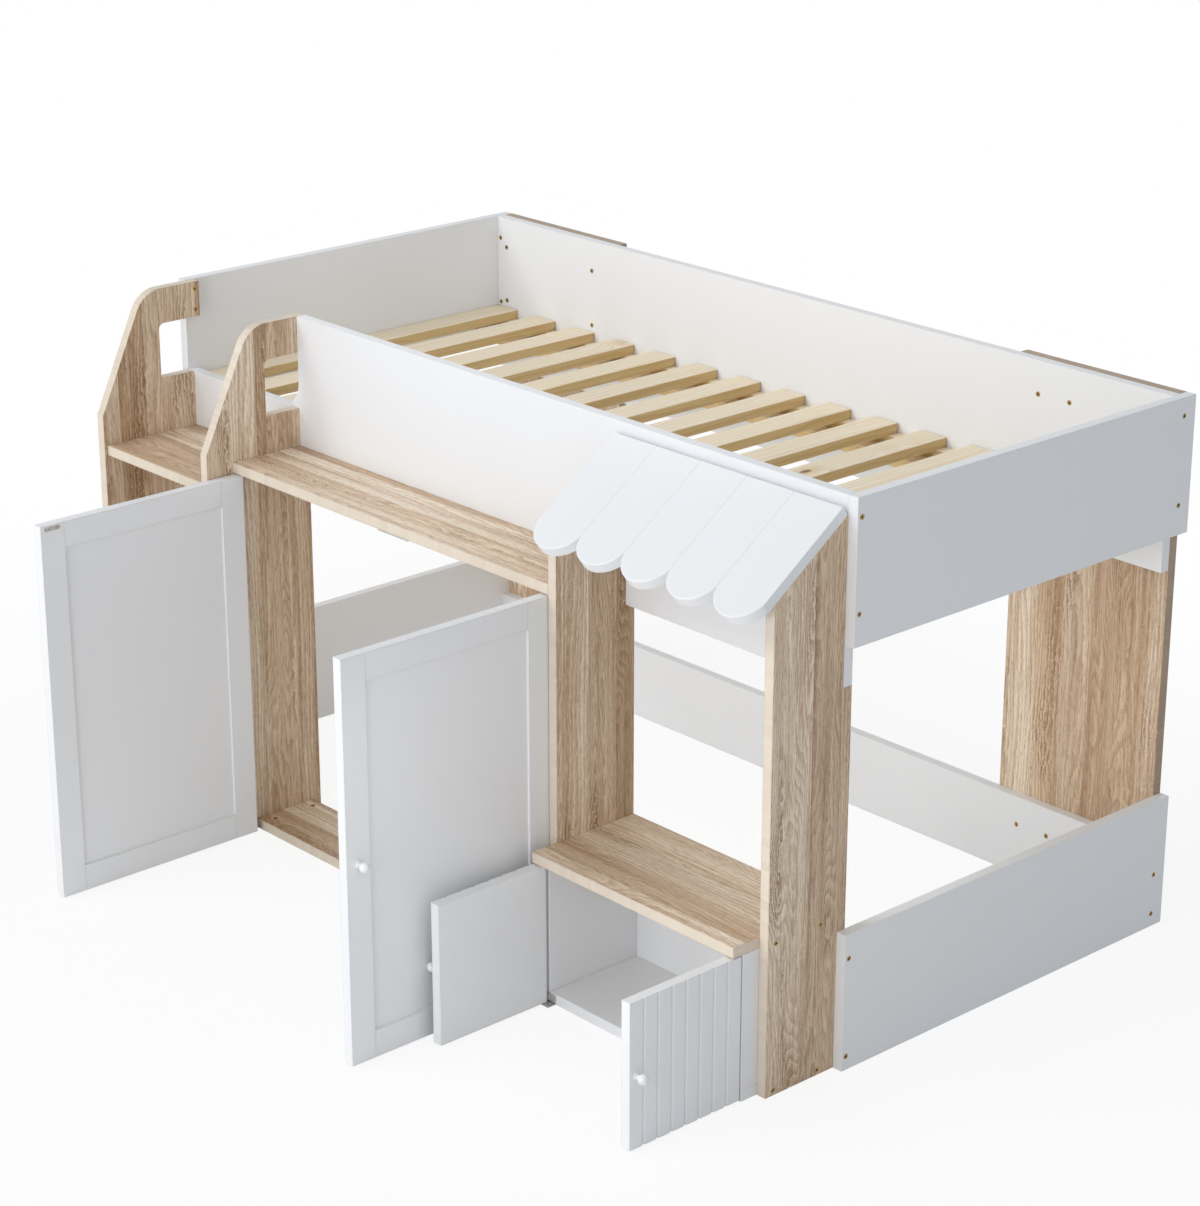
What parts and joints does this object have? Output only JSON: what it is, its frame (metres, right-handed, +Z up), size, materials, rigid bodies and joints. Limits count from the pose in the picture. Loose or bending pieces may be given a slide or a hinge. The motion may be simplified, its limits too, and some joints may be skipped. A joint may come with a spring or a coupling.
{
  "type": "loft bed",
  "caption": "Low loft bed with slatted base, entry stair with hand holds, wardrobe and bench cabinet with hinged doors under its front, and a scalloped awning over the bench.",
  "frame": {"origin": "on the floor, at the centre of the underside of the rail that lies on the floor at the back", "axes": "+X along the bed towards the end with the bench, -Y towards the front where the doors are, +Z up; the doors stand open at rest, as in the picture"},
  "size_m": [1.636, 1.2865, 0.9],
  "materials": {
    "white_laminate": "white laminated chipboard, satin",
    "white_paint": "white satin paint on wood",
    "oak_laminate": "pale oak laminate with long grain, satin",
    "pine": "planed softwood, matt",
    "steel": "zinc plated, satin",
    "brass": "yellow zinc plated, satin"
  },
  "bodies": {
    "bed": {"end_board_left": "white_laminate", "end_board_right": "white_laminate", "foot_board_left": "white_laminate", "foot_board_right": "white_laminate", "front_rail": "white_laminate", "back_rail": "white_laminate", "lower_back_rail": "white_laminate", "back_panel_left": "oak_laminate", "back_panel_right": "oak_laminate", "entry_side_left": "oak_laminate", "entry_side_right": "oak_laminate", "middle_panel": "oak_laminate", "corner_panel": "oak_laminate", "entry_tread_1": "oak_laminate", "entry_tread_2": "oak_laminate", "entry_tread_3": "oak_laminate", "wardrobe_shelf": "oak_laminate", "wardrobe_floor": "oak_laminate", "magnetic_catch": "steel", "bench_top": "oak_laminate", "bench_side_left": "white_laminate", "bench_side_right": "white_laminate", "bench_back": "white_laminate", "bench_bottom": "white_laminate", "awning": "white_laminate", "slat_ledge_front": "pine", "slat_ledge_back": "pine", "slat_runners": "pine", "slat_01": "pine", "slat_02": "pine", "slat_03": "pine", "slat_04": "pine", "slat_05": "pine", "slat_06": "pine", "slat_07": "pine", "slat_08": "pine", "slat_09": "pine", "slat_10": "pine", "slat_11": "pine", "slat_12": "pine", "slat_13": "pine", "slat_14": "pine", "slat_15": "pine", "door_top_pins": "steel", "door_floor_brackets": "steel", "panel_bolts": "brass", "cam_locks": "brass"},
    "wardrobe_door_left": {"wardrobe_frame_left": "white_paint", "wardrobe_panel_left": "white_paint", "wardrobe_knob_left": "white_paint", "wardrobe_strike_left": "steel"},
    "wardrobe_door_right": {"wardrobe_frame_right": "white_paint", "wardrobe_panel_right": "white_paint", "wardrobe_knob_right": "white_paint", "wardrobe_strike_right": "steel"},
    "bench_door_left": {"bench_door_left": "white_laminate", "bench_knob_left": "white_paint"},
    "bench_door_right": {"bench_door_right": "white_laminate", "bench_knob_right": "white_paint"}
  },
  "joints": [
    {"name": "wardrobe_hinge_left", "type": "hinge", "parent": "bed", "child": "wardrobe_door_left", "pos_m": [-0.471, -0.8655, 0], "axis": [0, 0, 1], "range_deg": [0, 90]},
    {"name": "wardrobe_hinge_right", "type": "hinge", "parent": "bed", "child": "wardrobe_door_right", "pos_m": [0.319, -0.8655, 0], "axis": [0, 0, 1], "range_deg": [-90, 0]},
    {"name": "bench_hinge_left", "type": "hinge", "parent": "bed", "child": "bench_door_left", "pos_m": [0.352, -0.912, 0], "axis": [0, 0, 1], "range_deg": [0, 90]},
    {"name": "bench_hinge_right", "type": "hinge", "parent": "bed", "child": "bench_door_right", "pos_m": [0.772, -0.912, 0], "axis": [0, 0, 1], "range_deg": [-90, 0]}
  ]
}
